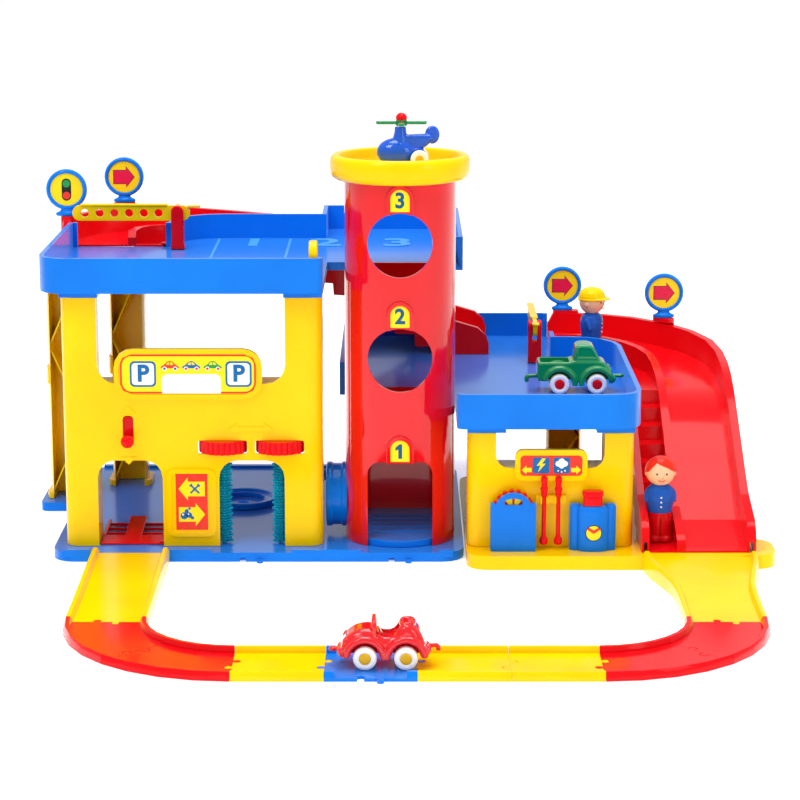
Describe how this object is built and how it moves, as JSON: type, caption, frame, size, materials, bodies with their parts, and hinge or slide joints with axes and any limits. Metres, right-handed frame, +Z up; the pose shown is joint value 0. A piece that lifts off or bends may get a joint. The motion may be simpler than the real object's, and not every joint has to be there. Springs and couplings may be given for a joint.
{
  "type": "toy parking garage",
  "caption": "Toy parking garage: lift tower with winding wheel, stacked parking decks, curved slide ramps with stairs, car wash, filling station and a ring road of linking pieces.",
  "frame": {"origin": "on the ground under the middle of the whole set", "axes": "+X to the right as the garage is faced from the road loop, +Y to the back, +Z up"},
  "size_m": [0.806, 0.88, 0.4679],
  "materials": {
    "yellow_plastic": "glossy injection moulded",
    "blue_plastic": "glossy injection moulded",
    "red_plastic": "glossy injection moulded",
    "green_plastic": "glossy injection moulded",
    "teal_bristle": "satin bristle moulding",
    "white_plastic": "satin tyre moulding"
  },
  "bodies": {
    "garage": {"road_straight_a": "yellow_plastic", "road_crossing": "blue_plastic", "road_straight_b": "yellow_plastic", "road_straight_c": "yellow_plastic", "road_bend_left_1": "red_plastic", "road_bend_left_2": "red_plastic", "road_bend_right_1": "red_plastic", "road_bend_right_2": "red_plastic", "road_climb_left": "yellow_plastic", "road_climb_right": "yellow_plastic", "base_plate": "blue_plastic", "front_wall": "yellow_plastic", "outer_column": "yellow_plastic", "ramp_column": "yellow_plastic", "lane_column": "yellow_plastic", "shoulder_column": "yellow_plastic", "upper_deck": "blue_plastic", "middle_deck": "blue_plastic", "lift_tower": "red_plastic", "landing_pad": "yellow_plastic", "upper_ramp": "red_plastic", "lower_ramp": "red_plastic", "station_base": "yellow_plastic", "station_wall": "yellow_plastic", "pump_case": "blue_plastic", "bottle_pump": "blue_plastic", "bottle_cap": "red_plastic", "nozzle_clip": "yellow_plastic", "upper_barrier_post": "red_plastic", "lower_barrier_post": "red_plastic", "corner_tab": "yellow_plastic"},
    "turntable": {"turntable": "blue_plastic"},
    "car_lift": {"car_lift": "red_plastic"},
    "wash_roller_1": {"wash_brush_1": "teal_bristle", "wash_thumb_wheel_1": "red_plastic"},
    "wash_roller_2": {"wash_brush_2": "teal_bristle", "wash_thumb_wheel_2": "red_plastic"},
    "lift_platform": {"lift_platform": "blue_plastic"},
    "lift_crank": {"lift_crank": "blue_plastic"},
    "pump_dial": {"pump_dial": "red_plastic"},
    "nozzle_1": {"nozzle_1": "red_plastic"},
    "nozzle_2": {"nozzle_2": "red_plastic"},
    "upper_boom": {"upper_barrier_boom": "yellow_plastic"},
    "lower_boom": {"lower_barrier_boom": "yellow_plastic"},
    "signal_sign": {"signal_sign": "blue_plastic"},
    "upper_arrow_sign": {"upper_arrow_sign": "blue_plastic"},
    "entry_arrow_sign": {"entry_arrow_sign": "blue_plastic"},
    "lower_arrow_sign": {"lower_arrow_sign": "blue_plastic"},
    "roadster": {"roadster_body": "red_plastic"},
    "roadster_wheels_1": {"roadster_wheels_1": "white_plastic"},
    "roadster_wheels_2": {"roadster_wheels_2": "white_plastic"},
    "tow_truck": {"tow_truck_body": "green_plastic"},
    "tow_truck_wheels_1": {"tow_truck_wheels_1": "white_plastic"},
    "tow_truck_wheels_2": {"tow_truck_wheels_2": "white_plastic"},
    "helicopter": {"helicopter_body": "blue_plastic"},
    "helicopter_rotor": {"helicopter_rotor": "green_plastic"},
    "worker_figure": {"worker_figure": "blue_plastic"},
    "driver_figure": {"driver_figure": "blue_plastic"}
  },
  "joints": [
    {"name": "turntable_turn", "type": "hinge", "parent": "garage", "child": "turntable", "pos_m": [-0.172, 0.177, 0.01], "axis": [0, 0, 1], "continuous": true},
    {"name": "car_lift_slide", "type": "slide", "parent": "garage", "child": "car_lift", "axis": [0, 0, 1], "range_m": [0, 0.02]},
    {"name": "wash_turn_1", "type": "hinge", "parent": "garage", "child": "wash_roller_1", "pos_m": [-0.181, 0.0035, 0.01], "axis": [0, 0, 1], "continuous": true},
    {"name": "wash_turn_2", "type": "hinge", "parent": "garage", "child": "wash_roller_2", "pos_m": [-0.1205, 0.0035, 0.01], "axis": [0, 0, 1], "continuous": true},
    {"name": "crank_turn", "type": "hinge", "parent": "garage", "child": "lift_crank", "pos_m": [-0.06, 0.052, 0.052], "axis": [1, 0, 0], "range_deg": [0, 720]},
    {"name": "platform_slide", "type": "slide", "parent": "garage", "child": "lift_platform", "axis": [0, 0, 1], "range_m": [0, 0.2766]},
    {"name": "dial_turn", "type": "hinge", "parent": "garage", "child": "pump_dial", "pos_m": [0.126, -0.0387, 0.0585], "axis": [0, 1, 0], "continuous": true},
    {"name": "nozzle_lift_1", "type": "slide", "parent": "garage", "child": "nozzle_1", "axis": [0, 0, 1], "range_m": [0, 0.03]},
    {"name": "nozzle_lift_2", "type": "slide", "parent": "garage", "child": "nozzle_2", "axis": [0, 0, 1], "range_m": [0, 0.03]},
    {"name": "upper_boom_swing", "type": "hinge", "parent": "garage", "child": "upper_boom", "pos_m": [-0.245, 0.223, 0.3363], "axis": [0, 1, 0], "range_deg": [0, 80]},
    {"name": "lower_boom_swing", "type": "hinge", "parent": "garage", "child": "lower_boom", "pos_m": [0.1635, 0.266, 0.1963], "axis": [1, 0, 0], "range_deg": [0, 80]},
    {"name": "signal_sign_lift", "type": "slide", "parent": "garage", "child": "signal_sign", "axis": [0, 0, 1], "range_m": [0, 0.03]},
    {"name": "upper_arrow_lift", "type": "slide", "parent": "garage", "child": "upper_arrow_sign", "axis": [0, 0, 1], "range_m": [0, 0.03]},
    {"name": "entry_arrow_lift", "type": "slide", "parent": "garage", "child": "entry_arrow_sign", "axis": [0, 0, 1], "range_m": [0, 0.03]},
    {"name": "lower_arrow_lift", "type": "slide", "parent": "garage", "child": "lower_arrow_sign", "axis": [0, 0, 1], "range_m": [0, 0.03]},
    {"name": "roadster_roll", "type": "slide", "parent": "garage", "child": "roadster", "axis": [1, 0, 0], "range_m": [-0.006, 0.015]},
    {"name": "roadster_axle_1", "type": "hinge", "parent": "roadster", "child": "roadster_wheels_1", "pos_m": [-0.025, -0.392, 0.0143], "axis": [0, 1, 0], "continuous": true},
    {"name": "roadster_axle_2", "type": "hinge", "parent": "roadster", "child": "roadster_wheels_2", "pos_m": [0.0125, -0.392, 0.0143], "axis": [0, 1, 0], "continuous": true},
    {"name": "tow_truck_roll", "type": "slide", "parent": "garage", "child": "tow_truck", "axis": [1, 0, 0], "range_m": [-0.05, 0]},
    {"name": "tow_truck_axle_1", "type": "hinge", "parent": "tow_truck", "child": "tow_truck_wheels_1", "pos_m": [0.1816, 0.105, 0.1663], "axis": [0, 1, 0], "continuous": true},
    {"name": "tow_truck_axle_2", "type": "hinge", "parent": "tow_truck", "child": "tow_truck_wheels_2", "pos_m": [0.2226, 0.105, 0.1663], "axis": [0, 1, 0], "continuous": true},
    {"name": "helicopter_lift", "type": "slide", "parent": "garage", "child": "helicopter", "axis": [0, 0, 1], "range_m": [0, 0.06]},
    {"name": "rotor_turn", "type": "hinge", "parent": "helicopter", "child": "helicopter_rotor", "pos_m": [0.0085, 0.037, 0.453], "axis": [0, 0, 1], "continuous": true},
    {"name": "worker_lift", "type": "slide", "parent": "garage", "child": "worker_figure", "axis": [0, 0, 1], "range_m": [0, 0.04]},
    {"name": "driver_lift", "type": "slide", "parent": "garage", "child": "driver_figure", "axis": [0, 0, 1], "range_m": [0, 0.04]}
  ],
  "couplings": [
    {"joint": "platform_slide", "follows": "crank_turn", "m_per_rad": 0.022}
  ]
}
